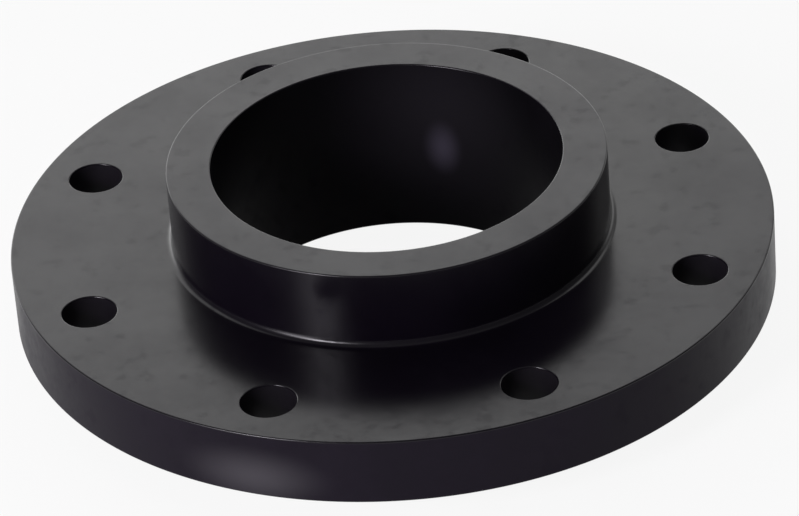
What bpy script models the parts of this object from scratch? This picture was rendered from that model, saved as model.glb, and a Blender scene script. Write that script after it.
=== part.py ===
"""Weld neck pipe flange, turned and drilled from one forging.

The flange stands on its raised sealing face. The origin is the centre of that face, +Z runs up the
bore towards the weld end of the hub, and the bolt holes straddle the X and Y axes. Sizes are metres.
"""

import math

import bmesh
import bpy
from mathutils import Vector

# Driving dimensions, from the bore outwards
BORE_DIAMETER = 0.1165
HUB_WALL = 0.01475
NUT_CLEARANCE = 0.02595
BOLT_HOLE_DIAMETER = 0.018
BOLT_HOLE_COUNT = 8
RIM_MARGIN = 0.01005
RAISED_FACE_MARGIN = 0.0061

# Driving dimensions, from the sealing face upwards
RAISED_FACE_HEIGHT = 0.0145
FLANGE_THICKNESS = 0.023
HUB_HEIGHT = 0.0265

# Rounded corners of the turned shape and the broken edges of the bolt holes
BORE_EDGE_ROUND = 0.0005
HUB_END_ROUND = 0.0005
HUB_FOOT_FILLET = 0.0022
RIM_ROUND = 0.0005
RAISED_FACE_FOOT_FILLET = 0.0015
RAISED_FACE_EDGE_ROUND = 0.0005
BOLT_HOLE_EDGE_BREAK = 0.0005

# Fineness of the turned and drilled faces
TURNING_STEPS = 96
DRILLING_STEPS = 24
FILLET_STEPS = 5
ROUND_STEPS = 2
MERGE_DISTANCE = 0.00001
CUTTER_OVERRUN = 0.002

# Radii: the bolt circle leaves room for a nut beside the hub, and metal between the holes and the rim
BORE_RADIUS = BORE_DIAMETER / 2
HUB_RADIUS = BORE_RADIUS + HUB_WALL
BOLT_HOLE_RADIUS = BOLT_HOLE_DIAMETER / 2
BOLT_CIRCLE_RADIUS = HUB_RADIUS + NUT_CLEARANCE + BOLT_HOLE_RADIUS
FLANGE_RADIUS = BOLT_CIRCLE_RADIUS + BOLT_HOLE_RADIUS + RIM_MARGIN
RAISED_FACE_RADIUS = BOLT_CIRCLE_RADIUS - BOLT_HOLE_RADIUS - RAISED_FACE_MARGIN

# Levels: the bolting disc lies between its front, towards the sealing face, and its back, at the hub
FRONT_LEVEL = RAISED_FACE_HEIGHT
BACK_LEVEL = FRONT_LEVEL + FLANGE_THICKNESS
WELD_END_LEVEL = BACK_LEVEL + HUB_HEIGHT


def clear_scene():
    """Removes whatever the scene holds at the start."""
    for item in list(bpy.data.objects):
        bpy.data.objects.remove(item, do_unlink=True)


def new_collection(name):
    """Adds a collection of that name to the scene."""
    collection = bpy.data.collections.new(name)
    bpy.context.scene.collection.children.link(collection)
    return collection


def black_enamel():
    """The semi-gloss black finish that covers the whole flange."""
    material = bpy.data.materials.new("black_enamel")
    material.use_nodes = True
    shader = material.node_tree.nodes["Principled BSDF"]
    shader.inputs["Base Color"].default_value = (0.012, 0.011, 0.013, 1.0)
    shader.inputs["Metallic"].default_value = 0.0
    shader.inputs["Roughness"].default_value = 0.22
    return material


def rounded_corner(before, corner, after, radius, steps):
    """Points of the arc that rounds the corner between two straight runs."""
    corner = Vector(corner)
    to_before = (Vector(before) - corner).normalized()
    to_after = (Vector(after) - corner).normalized()
    half_angle = to_before.angle(to_after) / 2
    setback = radius / math.tan(half_angle)
    centre = corner + (to_before + to_after).normalized() * radius / math.sin(half_angle)
    first_spoke = corner + to_before * setback - centre
    last_spoke = corner + to_after * setback - centre
    sweep = -first_spoke.angle_signed(last_spoke)
    points = []
    for step in range(steps + 1):
        turn = sweep * step / steps
        across = first_spoke.x * math.cos(turn) - first_spoke.y * math.sin(turn)
        up = first_spoke.x * math.sin(turn) + first_spoke.y * math.cos(turn)
        points.append((centre.x + across, centre.y + up))
    return points


def rounded_outline(corners):
    """A closed outline from corners of (distance from the axis, level, rounding, steps)."""
    outline = []
    for index, (across, level, rounding, steps) in enumerate(corners):
        before = corners[index - 1][:2]
        after = corners[(index + 1) % len(corners)][:2]
        outline += rounded_corner(before, (across, level), after, rounding, steps)
    return outline


def flange_outline():
    """The section of the flange at +X, down its outer side and back up the bore."""
    return rounded_outline([
        (BORE_RADIUS, WELD_END_LEVEL, BORE_EDGE_ROUND, ROUND_STEPS),
        (HUB_RADIUS, WELD_END_LEVEL, HUB_END_ROUND, ROUND_STEPS),
        (HUB_RADIUS, BACK_LEVEL, HUB_FOOT_FILLET, FILLET_STEPS),
        (FLANGE_RADIUS, BACK_LEVEL, RIM_ROUND, ROUND_STEPS),
        (FLANGE_RADIUS, FRONT_LEVEL, RIM_ROUND, ROUND_STEPS),
        (RAISED_FACE_RADIUS, FRONT_LEVEL, RAISED_FACE_FOOT_FILLET, ROUND_STEPS),
        (RAISED_FACE_RADIUS, 0.0, RAISED_FACE_EDGE_ROUND, ROUND_STEPS),
        (BORE_RADIUS, 0.0, BORE_EDGE_ROUND, ROUND_STEPS),
    ])


def bolt_hole_outline():
    """The section of a bolt hole from axis to axis, flared at 45 degrees where it meets each face."""
    flared = BOLT_HOLE_RADIUS + BOLT_HOLE_EDGE_BREAK + CUTTER_OVERRUN
    above = BACK_LEVEL + CUTTER_OVERRUN
    below = FRONT_LEVEL - CUTTER_OVERRUN
    return [
        (0.0, above),
        (flared, above),
        (BOLT_HOLE_RADIUS, BACK_LEVEL - BOLT_HOLE_EDGE_BREAK),
        (BOLT_HOLE_RADIUS, FRONT_LEVEL + BOLT_HOLE_EDGE_BREAK),
        (flared, below),
        (0.0, below),
    ]


def outline_mesh(name, outline, closed):
    """A mesh of edges alone that follows the outline in the XZ plane."""
    mesh = bpy.data.meshes.new(name)
    shape = bmesh.new()
    points = [shape.verts.new((across, 0.0, level)) for across, level in outline]
    for first, second in zip(points, points[1:]):
        shape.edges.new((first, second))
    if closed:
        shape.edges.new((points[-1], points[0]))
    shape.to_mesh(mesh)
    shape.free()
    return mesh


def turn_about_axis(item, steps):
    """Turns the object's outline through a full circle about its Z axis."""
    turning = item.modifiers.new("turning", "SCREW")
    turning.axis = "Z"
    turning.angle = math.tau
    turning.steps = steps
    turning.render_steps = steps
    turning.use_merge_vertices = True
    turning.merge_threshold = MERGE_DISTANCE
    turning.use_smooth_shade = True


def make_drills(collection):
    """One cutter for each bolt hole, set round the bolt circle astride the axes."""
    mesh = outline_mesh("bolt_hole_outline", bolt_hole_outline(), closed=False)
    spacing = math.tau / BOLT_HOLE_COUNT
    for index in range(BOLT_HOLE_COUNT):
        angle = spacing * (index + 0.5)
        drill = bpy.data.objects.new(f"bolt_hole_drill_{index + 1}", mesh)
        drill.location.x = BOLT_CIRCLE_RADIUS * math.cos(angle)
        drill.location.y = BOLT_CIRCLE_RADIUS * math.sin(angle)
        drill.rotation_euler.z = angle
        drill.display_type = "WIRE"
        drill.hide_render = True
        collection.objects.link(drill)
        turn_about_axis(drill, DRILLING_STEPS)


def make_flange(collection, drills):
    """The flange: hub, bolting disc and raised face turned as one, then drilled."""
    mesh = outline_mesh("flange", flange_outline(), closed=True)
    mesh.materials.append(black_enamel())
    flange = bpy.data.objects.new("flange", mesh)
    collection.objects.link(flange)
    turn_about_axis(flange, TURNING_STEPS)
    drilling = flange.modifiers.new("drilling", "BOOLEAN")
    drilling.operation = "DIFFERENCE"
    drilling.solver = "EXACT"
    drilling.operand_type = "COLLECTION"
    drilling.collection = drills
    flange.modifiers.new("flat_faces_shade_flat", "WEIGHTED_NORMAL")


def main():
    """Builds the flange."""
    clear_scene()
    parts = new_collection("weld_neck_flange")
    drills = new_collection("cutters")
    make_drills(drills)
    make_flange(parts, drills)


main()
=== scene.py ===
"""The looks of a weld neck pipe flange: one forging, turned, drilled and sprayed with black enamel.

The section of the flange is drawn as a flat sheet, its corners are rounded and its gasket grooves
scored, and it is spun about the bore. The bolt holes are then drilled and their edges rounded.
Lengths are metres, and +Z runs up the bore from the sealing face to the weld end of the hub.
"""

import logging
import math
from collections.abc import Callable, Iterable
from dataclasses import dataclass, field
from enum import Enum

import bmesh
import bpy
from mathutils import Matrix, Vector

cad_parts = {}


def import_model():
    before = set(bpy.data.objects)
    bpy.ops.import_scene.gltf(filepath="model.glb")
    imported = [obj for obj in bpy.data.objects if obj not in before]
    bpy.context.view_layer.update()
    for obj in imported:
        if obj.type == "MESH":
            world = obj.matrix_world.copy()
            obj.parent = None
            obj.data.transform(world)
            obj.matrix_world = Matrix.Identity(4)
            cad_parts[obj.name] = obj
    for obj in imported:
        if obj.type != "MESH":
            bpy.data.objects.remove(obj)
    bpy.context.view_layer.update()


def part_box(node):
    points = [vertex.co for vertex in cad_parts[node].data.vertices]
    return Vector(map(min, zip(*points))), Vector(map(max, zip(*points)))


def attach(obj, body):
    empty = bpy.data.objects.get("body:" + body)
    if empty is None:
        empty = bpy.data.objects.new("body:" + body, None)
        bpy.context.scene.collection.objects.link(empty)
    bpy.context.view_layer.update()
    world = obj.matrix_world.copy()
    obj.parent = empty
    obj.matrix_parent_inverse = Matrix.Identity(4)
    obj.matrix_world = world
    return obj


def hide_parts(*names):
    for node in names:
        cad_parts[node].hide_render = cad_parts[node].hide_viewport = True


LOG = logging.getLogger("weld_neck_flange")

# Points nearer than the first length are merged, and lengths nearer than the second count as alike
DOUBLED = 1e-6
ALIKE = 2e-5

# Faces that meet below these angles are merged, in the flat section and on the drilled piece
SHEET_ANGLE = math.radians(1)
FLAT_ANGLE = math.radians(0.1)

# Edges steeper than this stay sharp
SHARP_ANGLE = math.radians(20)

# How high the normal of a level face reaches at least, and that of an upright face at most
LEVEL_RISE = 0.99999
UPRIGHT_RISE = 1e-4

# The profile of a bevel that is an arc
ARC = 0.5

Triple = tuple[float, float, float]
Colour = tuple[float, float, float, float]


class Zone(Enum):
    """The parts of the flange that are given different finishes."""

    OPEN = "open faces"
    RIM = "rim"
    BORE = "bore"
    HOLES = "bolt holes"


def deselect_all() -> None:
    """Leaves no object selected, because an operator acts on all that is."""
    bpy.ops.object.select_all(action="DESELECT")


def take_up(piece: bpy.types.Object) -> None:
    """Selects the piece alone and makes it the active one.

    Args:
        piece: The object that the next operators act on.
    """
    deselect_all()
    piece.select_set(True)
    bpy.context.view_layer.objects.active = piece


def begin_edit(piece: bpy.types.Object) -> None:
    """Takes up the piece and opens its mesh for editing."""
    take_up(piece)
    bpy.ops.object.mode_set(mode="EDIT")


def end_edit() -> None:
    """Closes the mesh that is open for editing."""
    bpy.ops.object.mode_set(mode="OBJECT")


def pick(kind: str, wanted: Callable[[object], bool]) -> None:
    """Selects what passes a test in the open mesh, and nothing else.

    Args:
        kind: "verts", "edges" or "faces".
        wanted: The test that each vertex, edge or face has to pass.
    """
    modes = {"verts": "VERT", "edges": "EDGE", "faces": "FACE"}
    bpy.ops.mesh.select_mode(type=modes[kind])
    bpy.ops.mesh.select_all(action="DESELECT")
    mesh = bpy.context.edit_object.data
    shape = bmesh.from_edit_mesh(mesh)
    for item in [item for item in getattr(shape, kind) if wanted(item)]:
        item.select_set(True)
    shape.select_flush_mode()
    bmesh.update_edit_mesh(mesh)


def near(first: float, second: float) -> bool:
    """True where two lengths are alike."""
    return abs(first - second) < ALIKE


def bearing(azimuth: float, elevation: float) -> Vector:
    """Turns a place in the sky into a direction.

    Args:
        azimuth: How far round it lies from straight behind towards +X, in degrees.
        elevation: How high it lies, in degrees.

    Returns:
        The direction, of length 1.
    """
    turn, rise = math.radians(azimuth), math.radians(elevation)
    flat = math.cos(rise)
    return Vector((math.sin(turn) * flat, math.cos(turn) * flat, math.sin(rise)))


def close_mesh() -> None:
    """Merges doubled points and turns every face of the open mesh outwards."""
    bpy.ops.mesh.select_all(action="SELECT")
    bpy.ops.mesh.remove_doubles(threshold=DOUBLED)
    bpy.ops.mesh.normals_make_consistent(inside=False)


def finish_modifiers(piece: bpy.types.Object) -> None:
    """Applies every modifier of a piece, in order.

    Args:
        piece: The object that carries them.
    """
    take_up(piece)
    for modifier in list(piece.modifiers):
        bpy.ops.object.modifier_apply(modifier=modifier.name)


def settle(piece: bpy.types.Object) -> None:
    """Moves the piece's place into its mesh, so that its object sits at the origin unturned."""
    take_up(piece)
    bpy.ops.object.transform_apply(location=True, rotation=True, scale=True)


@dataclass(frozen=True)
class Corner:
    """A corner of the turned section.

    Attributes:
        radius: Its distance from the axis of the bore.
        level: Its height above the sealing face.
        rounding: The radius of the arc that rounds it.
        steps: The number of flats in that arc.
    """

    radius: float
    level: float
    rounding: float
    steps: int


@dataclass
class GasketGrooves:
    """The fine concentric grooves that a round-nosed tool leaves on the sealing face.

    Attributes:
        pitch: The distance from one groove to the next.
        depth: How deep each groove is at its middle.
        plain_edge: The plain width left inside and outside the band of grooves.
        steps: The number of flats in the round bottom of a groove.
    """

    pitch: float = 0.0008
    depth: float = 0.00005
    plain_edge: float = 0.0009
    steps: int = 4

    def score(self, inner: float, outer: float) -> int:
        """Scores the sealing face of the section that is open for editing.

        Args:
            inner: The radius where the flat of the sealing face begins.
            outer: The radius where it ends.

        Returns:
            The number of grooves.
        """
        first, last = inner + self.plain_edge, outer - self.plain_edge
        count = int((last - first) / self.pitch)
        last = first + count * self.pitch
        self.cut_across(first)
        self.cut_across(last)
        pick("edges", lambda edge: self.spans(edge, first, last))
        bpy.ops.mesh.subdivide(number_cuts=count * self.steps - 1)
        for step in range(1, self.steps):
            offset = step / self.steps
            pick("verts", lambda vert: self.is_step(vert.co, first, last, offset))
            lift = self.depth * (1 - (2 * offset - 1) ** 2)
            bpy.ops.transform.translate(value=(0, 0, lift))
        return count

    @staticmethod
    def cut_across(radius: float) -> None:
        """Splits the sealing face's line at a radius."""
        bpy.ops.mesh.select_all(action="SELECT")
        bpy.ops.mesh.bisect(plane_co=(radius, 0, 0), plane_no=(1, 0, 0))

    @staticmethod
    def spans(edge: bmesh.types.BMEdge, first: float, last: float) -> bool:
        """Tells whether an edge is the one on the sealing face between two radii.

        Args:
            edge: An edge of the section.
            first: The smaller radius.
            last: The larger radius.

        Returns:
            True for that edge.
        """
        radii = sorted(vert.co.x for vert in edge.verts)
        flat = all(near(vert.co.z, 0) for vert in edge.verts)
        return flat and near(radii[0], first) and near(radii[1], last)

    def is_step(self, place: Vector, first: float, last: float, offset: float) -> bool:
        """Tells whether a point lies a given share of the pitch into one of the grooves.

        Args:
            place: A point of the section.
            first: The radius where the grooves begin.
            last: The radius where they end.
            offset: The share of the pitch.

        Returns:
            True for such a point.
        """
        if not (near(place.z, 0) and first < place.x < last):
            return False
        share = (place.x - first) / self.pitch % 1
        return abs(share - offset) < 0.5 / self.steps


@dataclass
class BoltCircle:
    """The bolt holes round the disc, each with both its mouths rounded.

    Attributes:
        radius: The distance from the bore's axis to the middle of each hole.
        hole_radius: The radius of a hole.
        count: The number of holes, set astride the X and Y axes.
        edge_round: The radius that rounds the mouths of a hole.
        edge_steps: The number of flats in that round.
        sides: The number of sides of a hole's wall.
        clear: How far the flare of the drill ends off the disc's face, so that it cuts it cleanly.
        overrun: How far the drill reaches beyond its flares.
    """

    radius: float = 0.10795
    hole_radius: float = 0.009
    count: int = 8
    edge_round: float = 0.0005
    edge_steps: int = 6
    sides: int = 72
    clear: float = 0.00001
    overrun: float = 0.002

    def centres(self) -> list[Vector]:
        """Works out where the holes are, half a spacing off the X axis and on from there.

        Returns:
            The middle of each hole, at the level of the sealing face.
        """
        spacing = math.tau / self.count
        angles = [spacing * (index + 0.5) for index in range(self.count)]
        return [Vector((math.cos(angle), math.sin(angle), 0)) * self.radius for angle in angles]

    def drill(self, blank: bpy.types.Object, low: float, high: float) -> None:
        """Drills the holes through the disc of the blank.

        Args:
            blank: The turned piece.
            low: The level of the disc's lower face.
            high: The level of the disc's upper face.
        """
        for centre in self.centres():
            drill = self.make_drill(centre, low, high)
            cut = blank.modifiers.new("drilling", "BOOLEAN")
            cut.operation = "DIFFERENCE"
            cut.solver = "EXACT"
            cut.object = drill
            finish_modifiers(blank)
            bpy.data.objects.remove(drill, do_unlink=True)

    def make_drill(self, centre: Vector, low: float, high: float) -> bpy.types.Object:
        """Models a drill that flares round at both faces, and so leaves a hole with rounded mouths.

        Args:
            centre: The middle of the hole.
            low: The level of the disc's lower face.
            high: The level of the disc's upper face.

        Returns:
            The drill, in its place.
        """
        low, high = low - self.clear, high + self.clear
        deselect_all()
        bpy.ops.mesh.primitive_cylinder_add(
            vertices=self.sides,
            radius=self.hole_radius,
            depth=high - low,
            location=(centre.x, centre.y, (low + high) / 2),
            rotation=(0, 0, math.atan2(centre.y, centre.x)),
        )
        drill = bpy.context.active_object
        settle(drill)
        begin_edit(drill)
        flare = (self.hole_radius + self.edge_round) / self.hole_radius
        for level, overrun in ((low, -self.overrun), (high, self.overrun)):
            pick("faces", lambda face: all(near(vert.co.z, level) for vert in face.verts))
            bpy.ops.mesh.extrude_region_move()
            middle = (centre.x, centre.y, level)
            bpy.ops.transform.resize(value=(flare, flare, 1), center_override=middle)
            bpy.ops.mesh.extrude_region_move(TRANSFORM_OT_translate={"value": (0, 0, overrun)})

        def at_mouth(edge: bmesh.types.BMEdge) -> bool:
            """True for an edge that runs round one end of the drill's straight part."""
            offsets = [vert.co - centre for vert in edge.verts]
            level = near(offsets[0].z, offsets[1].z)
            return level and all(near(offset.xy.length, self.hole_radius) for offset in offsets)

        pick("edges", at_mouth)
        bpy.ops.mesh.bevel(
            offset=self.edge_round, segments=self.edge_steps, profile=ARC, affect="EDGES"
        )
        close_mesh()
        end_edit()
        return drill


@dataclass
class Flange:
    """The forging: a bolting disc, a straight hub above it and a raised sealing face below.

    Attributes:
        rim_radius: The outer radius of the disc, from the frame.
        weld_end: The level of the hub's flat end, from the frame.
        bore_radius: The radius of the bore.
        hub_radius: The outer radius of the hub.
        face_radius: The outer radius of the raised sealing face.
        disc_low: The level of the disc's lower face.
        disc_high: The level of the disc's upper face.
        bore_round: The radius that rounds both ends of the bore.
        hub_round: The radius that rounds the hub's end.
        hub_fillet: The radius of the fillet at the hub's foot.
        rim_round: The radius that rounds both edges of the rim.
        face_fillet: The radius of the fillet where the raised face meets the disc.
        face_round: The radius that rounds the edge of the raised face.
        fillet_steps: The number of flats in the fillet at the hub's foot.
        outer_steps: The number in each round outside, and in the fillet of the raised face.
        inner_steps: The number in each round of the bore, and of the raised face's edge.
        sides: The number of sides that a full turn has.
        bolts: The circle of bolt holes.
        grooves: The grooves of the sealing face.
    """

    rim_radius: float
    weld_end: float
    bore_radius: float = 0.05825
    hub_radius: float = 0.073
    face_radius: float = 0.09285
    disc_low: float = 0.0145
    disc_high: float = 0.0375
    bore_round: float = 0.0005
    hub_round: float = 0.0005
    hub_fillet: float = 0.0022
    rim_round: float = 0.0005
    face_fillet: float = 0.0015
    face_round: float = 0.0005
    fillet_steps: int = 10
    outer_steps: int = 6
    inner_steps: int = 5
    sides: int = 256
    bolts: BoltCircle = field(default_factory=BoltCircle)
    grooves: GasketGrooves = field(default_factory=GasketGrooves)

    def corners(self) -> list[Corner]:
        """The rounded corners of the section.

        Returns:
            The corners, down the outside from the hub's end and back up the bore.
        """
        return [
            Corner(self.bore_radius, self.weld_end, self.bore_round, self.inner_steps),
            Corner(self.hub_radius, self.weld_end, self.hub_round, self.outer_steps),
            Corner(self.hub_radius, self.disc_high, self.hub_fillet, self.fillet_steps),
            Corner(self.rim_radius, self.disc_high, self.rim_round, self.outer_steps),
            Corner(self.rim_radius, self.disc_low, self.rim_round, self.outer_steps),
            Corner(self.face_radius, self.disc_low, self.face_fillet, self.outer_steps),
            Corner(self.face_radius, 0.0, self.face_round, self.inner_steps),
            Corner(self.bore_radius, 0.0, self.bore_round, self.inner_steps),
        ]

    def build(self) -> bpy.types.Object:
        """Models the flange.

        Returns:
            The finished piece, at the origin, with its place in its mesh.
        """
        piece = self.draw_section()
        self.round_section()
        grooves = self.grooves.score(
            self.bore_radius + self.bore_round, self.face_radius - self.face_round
        )
        self.spin_section()
        end_edit()
        self.bolts.drill(piece, self.disc_low, self.disc_high)
        begin_edit(piece)
        close_mesh()
        self.merge_flats()
        self.favour_true_faces()
        end_edit()
        self.smooth(piece)
        settle(piece)
        LOG.info("%s: %d grooves, %d bolt holes", piece.name, grooves, self.bolts.count)
        return piece

    def draw_section(self) -> bpy.types.Object:
        """Draws the section as a flat sheet at +X and leaves it open for editing.

        Returns:
            The piece that holds the sheet.
        """
        deselect_all()
        bpy.ops.mesh.primitive_plane_add(size=1, location=(0, 0, 0), rotation=(math.pi / 2, 0, 0))
        piece = bpy.context.active_object
        piece.name = piece.data.name = "flange_forging"
        settle(piece)
        begin_edit(piece)
        bpy.ops.mesh.select_all(action="SELECT")
        width, height = self.rim_radius - self.bore_radius, self.disc_high - self.disc_low
        bpy.ops.transform.resize(value=(width, 1, height), center_override=(0, 0, 0))
        across = (self.rim_radius + self.bore_radius) / 2
        bpy.ops.transform.translate(value=(across, 0, (self.disc_high + self.disc_low) / 2))
        self.raise_step(self.hub_radius, self.disc_high, self.weld_end)
        self.raise_step(self.face_radius, self.disc_low, 0.0)
        bpy.ops.mesh.select_all(action="SELECT")
        bpy.ops.mesh.dissolve_limited(angle_limit=SHEET_ANGLE)
        return piece

    def raise_step(self, outer: float, start: float, end: float) -> None:
        """Pulls a step out of the section, between the bore and a radius.

        Args:
            outer: The outer radius of the step.
            start: The level that it grows from.
            end: The level that it reaches.
        """
        bpy.ops.mesh.select_all(action="SELECT")
        bpy.ops.mesh.bisect(plane_co=(outer, 0, 0), plane_no=(1, 0, 0))

        def at_foot(edge: bmesh.types.BMEdge) -> bool:
            """True for the edge that the step grows from."""
            return all(near(v.co.z, start) and v.co.x < outer + ALIKE for v in edge.verts)

        pick("edges", at_foot)
        bpy.ops.mesh.extrude_edges_move(TRANSFORM_OT_translate={"value": (0, 0, end - start)})

    def round_section(self) -> None:
        """Rounds the corners of the sheet, each to its own radius, and keeps its outline alone."""
        for corner in self.corners():
            pick("verts", lambda v: near(v.co.x, corner.radius) and near(v.co.z, corner.level))
            bpy.ops.mesh.bevel(
                offset=corner.rounding, segments=corner.steps, profile=ARC, affect="VERTICES"
            )
        bpy.ops.mesh.select_all(action="SELECT")
        bpy.ops.mesh.delete(type="ONLY_FACE")

    def spin_section(self) -> None:
        """Spins the outline once round the bore and turns every face outwards."""
        bpy.ops.mesh.select_all(action="SELECT")
        bpy.ops.mesh.spin(steps=self.sides, angle=math.tau, center=(0, 0, 0), axis=(0, 0, 1))
        close_mesh()

    @staticmethod
    def merge_flats() -> None:
        """Merges the faces that lie in one plane, so that the drilling leaves no slivers."""
        bpy.ops.mesh.select_all(action="SELECT")
        bpy.ops.mesh.dissolve_limited(angle_limit=FLAT_ANGLE)

    @staticmethod
    def favour_true_faces() -> None:
        """Marks the level and upright faces as strong, so that they shade true beside a round."""
        pick("faces", lambda face: not UPRIGHT_RISE <= abs(face.normal.z) <= LEVEL_RISE)
        bpy.ops.mesh.mod_weighted_strength(set=True, face_strength="STRONG")

    @staticmethod
    def smooth(piece: bpy.types.Object) -> None:
        """Shades the rounds smooth and keeps the crests between the grooves sharp.

        Args:
            piece: The turned and drilled piece.
        """
        take_up(piece)
        bpy.ops.object.shade_smooth_by_angle(angle=SHARP_ANGLE)
        weigh = piece.modifiers.new("true_faces", "WEIGHTED_NORMAL")
        weigh.mode = "FACE_AREA"
        weigh.use_face_influence = True
        weigh.keep_sharp = True
        finish_modifiers(piece)

    def zone_of(self, face: bmesh.types.BMFace) -> Zone:
        """Tells which zone of the finish a face lies in.

        Args:
            face: A face of the finished mesh.

        Returns:
            The zone.
        """
        if abs(face.normal.z) > UPRIGHT_RISE:
            return Zone.OPEN
        middle = face.calc_center_median()
        flat = Vector((middle.x, middle.y, 0))
        if flat.length > self.rim_radius - self.rim_round:
            return Zone.RIM
        if flat.length < self.bore_radius + self.bore_round:
            return Zone.BORE
        reach = self.bolts.hole_radius + self.bolts.edge_round
        drilled = any((flat - centre).length < reach for centre in self.bolts.centres())
        return Zone.HOLES if drilled else Zone.OPEN

    def dress(self, piece: bpy.types.Object, finishes: dict[Zone, bpy.types.Material]) -> None:
        """Gives the flange its finishes and its place in the frame.

        Args:
            piece: The modelled flange.
            finishes: The finish of each zone.
        """
        piece.data.materials.clear()
        begin_edit(piece)
        for index, (zone, finish) in enumerate(finishes.items()):
            piece.data.materials.append(finish)
            pick("faces", lambda face: self.zone_of(face) is zone)
            piece.active_material_index = index
            bpy.ops.object.material_slot_assign()
        end_edit()
        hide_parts("flange")
        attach(piece, "root")


class NodeSheet:
    """A sheet of shader nodes, with the few kinds of step that the finishes and the sky use."""

    def __init__(self, tree: bpy.types.NodeTree) -> None:
        """Clears a node tree and takes it over.

        Args:
            tree: The node tree of a material or a world.
        """
        self.tree = tree
        tree.nodes.clear()

    def add(self, kind: str, **inputs: object) -> bpy.types.Node:
        """Adds a node and fills its inputs.

        Args:
            kind: The node's type.
            inputs: Socket names, with _ for a space, and a socket or a value for each.

        Returns:
            The node.
        """
        node = self.tree.nodes.new(kind)
        for name, value in inputs.items():
            self.feed(node.inputs[name.replace("_", " ")], value)
        return node

    def feed(self, socket: bpy.types.NodeSocket, value: object) -> None:
        """Links a socket to an input, or sets the input's own value.

        Args:
            socket: The input.
            value: The socket to link, or the value to set.
        """
        if isinstance(value, bpy.types.NodeSocket):
            self.tree.links.new(value, socket)
        else:
            socket.default_value = value

    def maths(self, operation: str, *values: object) -> bpy.types.NodeSocket:
        """Works out a number from numbers.

        Args:
            operation: The name of the operation.
            values: A socket or a number for each input.

        Returns:
            The socket of the result.
        """
        node = self.tree.nodes.new("ShaderNodeMath")
        node.operation = operation
        for socket, value in zip(node.inputs, values):
            self.feed(socket, value)
        return node.outputs[0]

    def vector(self, operation: str, *values: object) -> bpy.types.NodeSocket:
        """Works out a vector or a number from vectors.

        Args:
            operation: The name of the operation.
            values: A socket or a vector for each input.

        Returns:
            The socket of the result.
        """
        node = self.tree.nodes.new("ShaderNodeVectorMath")
        node.operation = operation
        for socket, value in zip(node.inputs, values):
            self.feed(socket, value)
        gives_number = operation in ("LENGTH", "DOT_PRODUCT")
        return node.outputs["Value" if gives_number else "Vector"]

    def ramp(
        self, value: object, start: float, end: float, low: float, high: float
    ) -> bpy.types.NodeSocket:
        """Turns a stretch of values smoothly into another.

        Args:
            value: The socket that is read.
            start: The value that gives low.
            end: The value that gives high.
            low: The result at and below start.
            high: The result at and above end.

        Returns:
            The socket of the result.
        """
        node = self.tree.nodes.new("ShaderNodeMapRange")
        node.interpolation_type = "SMOOTHSTEP"
        for name, number in (
            ("Value", value),
            ("From Min", start),
            ("From Max", end),
            ("To Min", low),
            ("To Max", high),
        ):
            self.feed(node.inputs[name], number)
        return node.outputs["Result"]

    def noise(
        self, place: object, size: float, detail: float, roughness: float
    ) -> bpy.types.NodeSocket:
        """Cloudy variation, from 0 to 1.

        Args:
            place: The coordinates to read.
            size: The width of a cloud, in metres.
            detail: How many finer layers are added.
            roughness: How strong the finer layers are.

        Returns:
            The socket of the variation.
        """
        node = self.add(
            "ShaderNodeTexNoise", Vector=place, Scale=1 / size, Detail=detail, Roughness=roughness
        )
        return node.outputs[0]

    def mix(self, share: object, first: object, second: object) -> bpy.types.NodeSocket:
        """Mixes two colours.

        Args:
            share: How much of the second colour shows, from 0 to 1.
            first: The first colour.
            second: The second colour.

        Returns:
            The socket of the mixed colour.
        """
        node = self.tree.nodes.new("ShaderNodeMix")
        node.data_type = "RGBA"
        shown = [socket for socket in node.inputs if socket.enabled]
        for socket, value in zip(shown, (share, first, second)):
            self.feed(socket, value)
        return next(socket for socket in node.outputs if socket.enabled)

    def bump(
        self, height: object, depth: float, strength: float, below: object = None
    ) -> bpy.types.NodeSocket:
        """Turns heights into a bent normal.

        Args:
            height: The heights, from 0 to 1.
            depth: What a height of 1 stands for, in metres.
            strength: How much of the bend is kept, from 0 to 1.
            below: The normal that this one is laid over.

        Returns:
            The socket of the normal.
        """
        node = self.add("ShaderNodeBump", Height=height, Distance=depth, Strength=strength)
        if below is not None:
            self.feed(node.inputs["Normal"], below)
        return node.outputs[0]


@dataclass(frozen=True)
class PaintedLightSpot:
    """A soft spot of painted light: a highlight or reflection painted into the coat's colour.

    Attributes:
        place: Its middle.
        reach: How far it fades out along X, Y and Z.
        colour: The colour of the painted light.
    """

    place: Triple
    reach: Triple
    colour: Colour

    def share(self, sheet: NodeSheet, place: bpy.types.NodeSocket) -> bpy.types.NodeSocket:
        """Works out how much of the painted light shows.

        Args:
            sheet: The material's sheet of nodes.
            place: The coordinates to read.

        Returns:
            The socket of the share, which is 1 in the middle of the spot and 0 outside it.
        """
        offset = sheet.vector("DIVIDE", sheet.vector("SUBTRACT", place, self.place), self.reach)
        return sheet.ramp(sheet.vector("LENGTH", offset), 0.0, 1.0, 1.0, 0.0)


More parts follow.
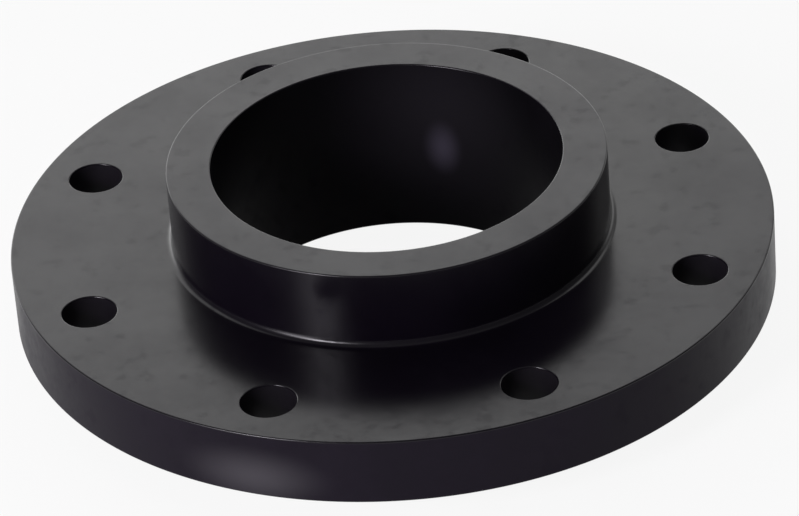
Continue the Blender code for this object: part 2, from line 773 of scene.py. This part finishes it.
@dataclass(frozen=True)
class BlackEnamel:
    """Black enamel, sprayed over turned steel.

    Attributes:
        name: The material's name.
        deep: The colour where the coat is thick.
        thin: The colour where the coat is thin.
        roughness: The roughness where the coat has flowed out, and where it dried dusty.
        ior: The index of refraction of the coat.
        sheen: How strongly the coat mirrors where it has flowed out, and where it dried dusty.
        cloud: The width of the broad patches in the gloss.
        speck: The width of the fine specks in it.
        speck_share: How much of the patches comes from the specks.
        dusty: Where in the patches, from 0 to 1, the dust begins to show, and shows in full.
        thinned: Where in them the coat begins to thin, and is thinnest.
        blotch: The width of the small dull blotches.
        blotched: Where in their noise, from 0 to 1, a blotch begins to show, and shows in full.
        dulling: How much less a blotch mirrors.
        peel: The width of the fine dimples of the sprayed coat.
        peel_depth: How deep the dimples are.
        tool_mark: The spacing of the turning marks that show through.
        mark_depth: How deep the turning marks are.
        relief: How much of the dimples and the turning marks shows.
        painted_light_spots: Spots of painted light on the coat: painted highlights and reflections.
    """

    name: str = "black_enamel"
    deep: Colour = (0.0034, 0.0021, 0.0050, 1.0)
    thin: Colour = (0.0044, 0.0030, 0.0063, 1.0)
    roughness: tuple[float, float] = (0.21, 0.26)
    ior: float = 1.42
    sheen: tuple[float, float] = (0.55, 0.44)
    cloud: float = 0.030
    speck: float = 0.003
    speck_share: float = 0.35
    dusty: tuple[float, float] = (0.35, 0.68)
    thinned: tuple[float, float] = (0.40, 0.66)
    blotch: float = 0.006
    blotched: tuple[float, float] = (0.58, 0.70)
    dulling: float = 0.09
    peel: float = 0.0012
    peel_depth: float = 0.000012
    tool_mark: float = 0.0006
    mark_depth: float = 0.000006
    relief: float = 0.5
    painted_light_spots: tuple[PaintedLightSpot, ...] = ()

    def make(self) -> bpy.types.Material:
        """Makes the material.

        Returns:
            The material.
        """
        material = bpy.data.materials.new(self.name)
        material.use_nodes = True
        sheet = NodeSheet(material.node_tree)
        place = sheet.add("ShaderNodeTexCoord").outputs["Object"]

        clouds = sheet.noise(place, self.cloud, detail=3.0, roughness=0.6)
        specks = sheet.noise(place, self.speck, detail=4.0, roughness=0.6)
        broad = sheet.maths("MULTIPLY", clouds, 1 - self.speck_share)
        patches = sheet.maths("MULTIPLY_ADD", specks, self.speck_share, broad)
        blotches = sheet.noise(place, self.blotch, detail=2.0, roughness=0.5)

        dulled = sheet.ramp(blotches, *self.blotched, 0.0, self.dulling)
        sheen = sheet.maths("SUBTRACT", sheet.ramp(patches, *self.dusty, *self.sheen), dulled)
        colour = sheet.mix(sheet.ramp(patches, *self.thinned, 0.0, 1.0), self.deep, self.thin)
        # Painted light: each spot mixes a painted highlight or reflection into the coat's colour.
        for light_spot in self.painted_light_spots:
            colour = sheet.mix(light_spot.share(sheet, place), colour, light_spot.colour)

        shader = sheet.add(
            "ShaderNodeBsdfPrincipled",
            Base_Color=colour,
            Roughness=sheet.ramp(patches, *self.dusty, *self.roughness),
            IOR=self.ior,
            Specular_IOR_Level=sheen,
            Normal=self.surface(sheet, place),
        )
        sheet.add("ShaderNodeOutputMaterial", Surface=shader.outputs[0])
        return material

    def surface(self, sheet: NodeSheet, place: bpy.types.NodeSocket) -> bpy.types.NodeSocket:
        """Works out the fine relief: the turning marks run round the bore, with dimples over them.

        Args:
            sheet: The material's sheet of nodes.
            place: The coordinates to read.

        Returns:
            The socket of the bent normal.
        """
        across, along, height = sheet.add("ShaderNodeSeparateXYZ", Vector=place).outputs
        flat = sheet.add("ShaderNodeCombineXYZ", X=across, Y=along).outputs[0]
        radius = sheet.vector("LENGTH", flat)
        rings = sheet.add("ShaderNodeCombineXYZ", X=radius, Y=height).outputs[0]
        marks = sheet.noise(rings, self.tool_mark, detail=2.0, roughness=0.7)
        peel = sheet.noise(place, self.peel, detail=1.0, roughness=0.4)
        turned = sheet.bump(marks, self.mark_depth, self.relief)
        return sheet.bump(peel, self.peel_depth, self.relief, turned)


@dataclass(frozen=True)
class PaleFloor:
    """Matt white paper. Light shows it white to the eye and to gloss, and it keeps a soft shadow.

    Attributes:
        colour: The colour of the paper.
        lift: How much of the plain white shows over the lit paper.
    """

    colour: Colour = (0.90, 0.90, 0.90, 1.0)
    lift: float = 0.90

    def make(self) -> bpy.types.Material:
        """Makes the material.

        Returns:
            The material, which lets a view from below pass.
        """
        material = bpy.data.materials.new("pale_floor")
        material.use_nodes = True
        sheet = NodeSheet(material.node_tree)
        rays = sheet.add("ShaderNodeLightPath").outputs
        seen = sheet.maths("MAXIMUM", rays["Is Camera Ray"], rays["Is Glossy Ray"])
        seen = sheet.maths("MAXIMUM", seen, rays["Is Transmission Ray"])
        paper = sheet.add("ShaderNodeBsdfDiffuse", Color=self.colour).outputs[0]
        white = sheet.add("ShaderNodeEmission", Strength=1.0).outputs[0]
        shown = sheet.add("ShaderNodeMixShader", Fac=sheet.maths("MULTIPLY", seen, self.lift))
        sheet.feed(shown.inputs[1], paper)
        sheet.feed(shown.inputs[2], white)
        below = sheet.add("ShaderNodeNewGeometry").outputs["Backfacing"]
        surface = sheet.add("ShaderNodeMixShader", Fac=below)
        sheet.feed(surface.inputs[1], shown.outputs[0])
        sheet.feed(surface.inputs[2], sheet.add("ShaderNodeBsdfTransparent").outputs[0])
        sheet.add("ShaderNodeOutputMaterial", Surface=surface.outputs[0])
        return material


@dataclass
class Floor:
    """The pale floor that the flange stands on.

    Attributes:
        reach: Half its width.
        gap: How far it lies below the sealing face.
    """

    reach: float = 14.0
    gap: float = 0.0001

    def build(self) -> bpy.types.Object:
        """Lays the floor.

        Returns:
            The floor.
        """
        deselect_all()
        bpy.ops.mesh.primitive_plane_add(size=2 * self.reach, location=(0, 0, -self.gap))
        floor = bpy.context.active_object
        floor.name = "studio_floor"
        floor.data.materials.append(PaleFloor().make())
        return floor


@dataclass
class SoftBox:
    """A soft lamp that looks at the flange from a distance.

    Attributes:
        name: The lamp's name.
        azimuth: Where it stands, in degrees round from straight behind towards +X.
        elevation: How high it stands, in degrees.
        distance: How far it is from the flange.
        width: How wide it is.
        height: How high it is.
        brightness: How bright its face is. Its power is this times pi times the face's area.
        colour: The colour of its light.
    """

    name: str
    azimuth: float
    elevation: float
    distance: float
    width: float
    height: float
    brightness: float
    colour: Triple = (0.96, 0.92, 1.0)

    def build(self) -> bpy.types.Object:
        """Hangs the lamp.

        Returns:
            The lamp, hidden from the camera.
        """
        lamp = bpy.data.lights.new(self.name, "AREA")
        lamp.shape = "ELLIPSE"
        lamp.size = self.width
        lamp.size_y = self.height
        area = math.pi / 4 * self.width * self.height
        lamp.energy = self.brightness * math.pi * area
        lamp.color = self.colour
        hung = bpy.data.objects.new(self.name, lamp)
        turn = Matrix.Rotation(math.radians(180 - self.azimuth), 4, "Z")
        tilt = Matrix.Rotation(math.radians(90 - self.elevation), 4, "X")
        hung.matrix_world = turn @ tilt @ Matrix.Translation((0, 0, self.distance))
        hung.visible_camera = False
        bpy.context.scene.collection.objects.link(hung)
        return hung


@dataclass(frozen=True)
class LitWall:
    """A stretch of the studio's wall that is lit.

    Attributes:
        azimuth: Where its middle lies, in degrees round from straight behind towards +X.
        spread: How far round from its middle it begins to dim and ends, in degrees.
        top: How high it begins to dim and ends, in degrees.
        brightness: How bright it is where it is fully lit.
    """

    azimuth: float
    spread: tuple[float, float]
    top: tuple[float, float]
    brightness: float

    def light(self, sheet: NodeSheet, look: bpy.types.NodeSocket) -> bpy.types.NodeSocket:
        """Works out the wall's light in a direction.

        Args:
            sheet: The world's sheet of nodes.
            look: The direction.

        Returns:
            The socket of the light.
        """
        across, along, height = sheet.add("ShaderNodeSeparateXYZ", Vector=look).outputs
        level = sheet.add("ShaderNodeCombineXYZ", X=across, Y=along).outputs[0]
        middle = tuple(bearing(self.azimuth, 0.0))
        towards = sheet.vector("DOT_PRODUCT", sheet.vector("NORMALIZE", level), middle)
        full, end = (math.radians(angle) for angle in self.spread)
        low, high = (math.radians(angle) for angle in self.top)
        beside = sheet.ramp(sheet.maths("ARCCOSINE", towards), full, end, self.brightness, 0.0)
        below = sheet.ramp(sheet.maths("ARCSINE", height), low, high, 1.0, 0.0)
        return sheet.maths("MULTIPLY", beside, below)


@dataclass(frozen=True)
class RoundGlow:
    """The round glow of a lamp on the studio's wall.

    Attributes:
        azimuth: Where its middle lies, in degrees round from straight behind towards +X.
        elevation: How high its middle lies, in degrees.
        spread: How far from its middle it begins to dim and ends, in degrees.
        brightness: How bright it is in the middle.
    """

    azimuth: float
    elevation: float
    spread: tuple[float, float]
    brightness: float

    def light(self, sheet: NodeSheet, look: bpy.types.NodeSocket) -> bpy.types.NodeSocket:
        """Works out the glow's light in a direction.

        Args:
            sheet: The world's sheet of nodes.
            look: The direction.

        Returns:
            The socket of the light.
        """
        middle = tuple(bearing(self.azimuth, self.elevation))
        full, end = (math.radians(angle) for angle in self.spread)
        off = sheet.maths("ARCCOSINE", sheet.vector("DOT_PRODUCT", look, middle))
        return sheet.ramp(off, full, end, self.brightness, 0.0)


@dataclass
class Sky:
    """The light of the studio all round: dim, with a lit wall behind, round glows and a faint top.

    Attributes:
        colour: The colour of all its light, which each brightness is multiplied by.
        around: The brightness all round.
        lights: What is brighter than that.
    """

    colour: Colour = (0.8, 0.8, 0.8, 1.0)
    around: float = 0.17
    lights: tuple[LitWall | RoundGlow, ...] = (
        LitWall(azimuth=2.0, spread=(43.0, 58.5), top=(1.0, 32.0), brightness=1.35),
        RoundGlow(azimuth=-15.0, elevation=10.0, spread=(25.5, 39.0), brightness=2.2),
        RoundGlow(azimuth=-50.0, elevation=47.0, spread=(6.0, 22.0), brightness=1.3),
        RoundGlow(azimuth=37.0, elevation=42.0, spread=(6.0, 20.0), brightness=1.5),
        RoundGlow(azimuth=0.0, elevation=90.0, spread=(10.0, 45.0), brightness=0.15),
    )

    def build(self) -> bpy.types.World:
        """Makes the world.

        Returns:
            The world.
        """
        world = bpy.data.worlds.new("studio_sky")
        bpy.context.scene.world = world
        world.use_nodes = True
        sheet = NodeSheet(world.node_tree)
        look = sheet.add("ShaderNodeTexCoord").outputs["Generated"]
        total = self.around
        for light in self.lights:
            total = sheet.maths("ADD", light.light(sheet, look), total)
        glow = sheet.add("ShaderNodeBackground", Color=self.colour, Strength=total)
        sheet.add("ShaderNodeOutputWorld", Surface=glow.outputs[0])
        return world


@dataclass
class ProductCamera:
    """The camera, where a fit to the photograph's edges puts it.

    Attributes:
        place: Where it stands.
        elevation: How far it looks down, in degrees.
        turn: How far it is turned round the bore, in degrees.
        roll: How far its picture is tilted, in degrees.
        lens: Its focal length in millimetres.
        sensor: The width of its sensor in millimetres.
        reach: How far it sees.
    """

    place: Triple = (0.02679, -1.41992, 0.93805)
    elevation: float = 32.7824
    turn: float = 1.0103
    roll: float = 4.4948
    lens: float = 227.812
    sensor: float = 36.0
    reach: float = 100.0

    def build(self) -> bpy.types.Object:
        """Sets up the camera and makes it the scene's own.

        Returns:
            The camera.
        """
        camera = bpy.data.cameras.new("product_camera")
        camera.lens = self.lens
        camera.sensor_width = self.sensor
        camera.clip_end = self.reach
        stand = bpy.data.objects.new("product_camera", camera)
        turn = Matrix.Rotation(math.radians(self.turn), 4, "Z")
        tilt = Matrix.Rotation(math.radians(90 - self.elevation), 4, "X")
        roll = Matrix.Rotation(math.radians(-self.roll), 4, "Z")
        stand.matrix_world = Matrix.Translation(self.place) @ turn @ tilt @ roll
        bpy.context.scene.collection.objects.link(stand)
        bpy.context.scene.camera = stand
        return stand


def report(pieces: Iterable[bpy.types.Object]) -> None:
    """Logs the name and the number of faces of each piece.

    Args:
        pieces: The mesh objects to list.
    """
    for piece in pieces:
        LOG.info("%s: %d faces", piece.name, len(piece.data.polygons))


def make_finishes() -> dict[Zone, bpy.types.Material]:
    """Makes the finish of each zone.

    Returns:
        The finishes. The coat is lighter and more matt on the rim and in the holes, and dullest
        in the bore. In the holes the lighter colour is partly painted light on their shaded walls.
    """
    # Painted reflection: a pale patch on the rim's front left stands in for the lamp-lit floor that
    # the rim mirrors.
    painted_rim_reflection = PaintedLightSpot(
        place=(-0.047, -0.118, 0.0215),
        reach=(0.028, 0.034, 0.0130),
        colour=(0.064, 0.060, 0.068, 1.0),
    )
    # Painted light: the back wall of the bore is painted lighter where light falls into it.
    painted_bore_light = PaintedLightSpot(
        place=(0.0165, 0.0559, 0.045),
        reach=(0.045, 0.040, 0.045),
        colour=(0.0150, 0.0135, 0.0170, 1.0),
    )
    # Painted highlight: a small round glare painted on the back wall of the bore.
    painted_bore_glare = PaintedLightSpot(
        place=(0.0185, 0.0552, 0.0316),
        reach=(0.008, 0.008, 0.0125),
        colour=(0.058, 0.052, 0.072, 1.0),
    )
    rim = BlackEnamel(
        name="rim_coat",
        deep=(0.0112, 0.0088, 0.0144, 1.0),
        thin=(0.0144, 0.0114, 0.0180, 1.0),
        roughness=(0.34, 0.42),
        ior=1.15,
        painted_light_spots=(painted_rim_reflection,),
    )
    bore = BlackEnamel(
        name="bore_coat",
        deep=(0.0034, 0.0030, 0.0040, 1.0),
        thin=(0.0046, 0.0040, 0.0054, 1.0),
        roughness=(0.38, 0.46),
        ior=1.08,
        painted_light_spots=(painted_bore_light, painted_bore_glare),
    )
    # Partly painted light: the lighter colour brightens the shaded walls of the holes, as well as
    # standing for a thinner coat there.
    holes = BlackEnamel(
        name="bolt_hole_coat",
        deep=(0.0110, 0.0095, 0.0125, 1.0),
        thin=(0.0140, 0.0120, 0.0160, 1.0),
        roughness=(0.38, 0.46),
        ior=1.25,
    )
    return {
        Zone.OPEN: BlackEnamel().make(),
        Zone.RIM: rim.make(),
        Zone.BORE: bore.make(),
        Zone.HOLES: holes.make(),
    }


def hang_lamps() -> None:
    """Hangs a soft box low at the left of the camera, and a smaller, brighter one above it."""
    SoftBox(
        name="left_soft_box",
        azimuth=-132.0,
        elevation=15.0,
        distance=2.4,
        width=0.90,
        height=1.20,
        brightness=7.0,
    ).build()
    SoftBox(
        name="left_bulb",
        azimuth=-142.0,
        elevation=28.5,
        distance=2.4,
        width=0.60,
        height=0.56,
        brightness=28.0,
    ).build()


def main() -> None:
    """Builds the flange and its studio, and keeps the sizes of both models."""
    logging.basicConfig(level=logging.INFO, format="%(name)s: %(message)s")
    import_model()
    bpy.context.scene.view_settings.view_transform = "Standard"

    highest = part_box("flange")[1]
    flange = Flange(rim_radius=highest.x, weld_end=highest.z)
    forging = flange.build()
    flange.dress(forging, make_finishes())

    floor = Floor().build()
    Sky().build()
    hang_lamps()
    ProductCamera().build()
    report([forging, floor])


if __name__ == "__main__":
    main()
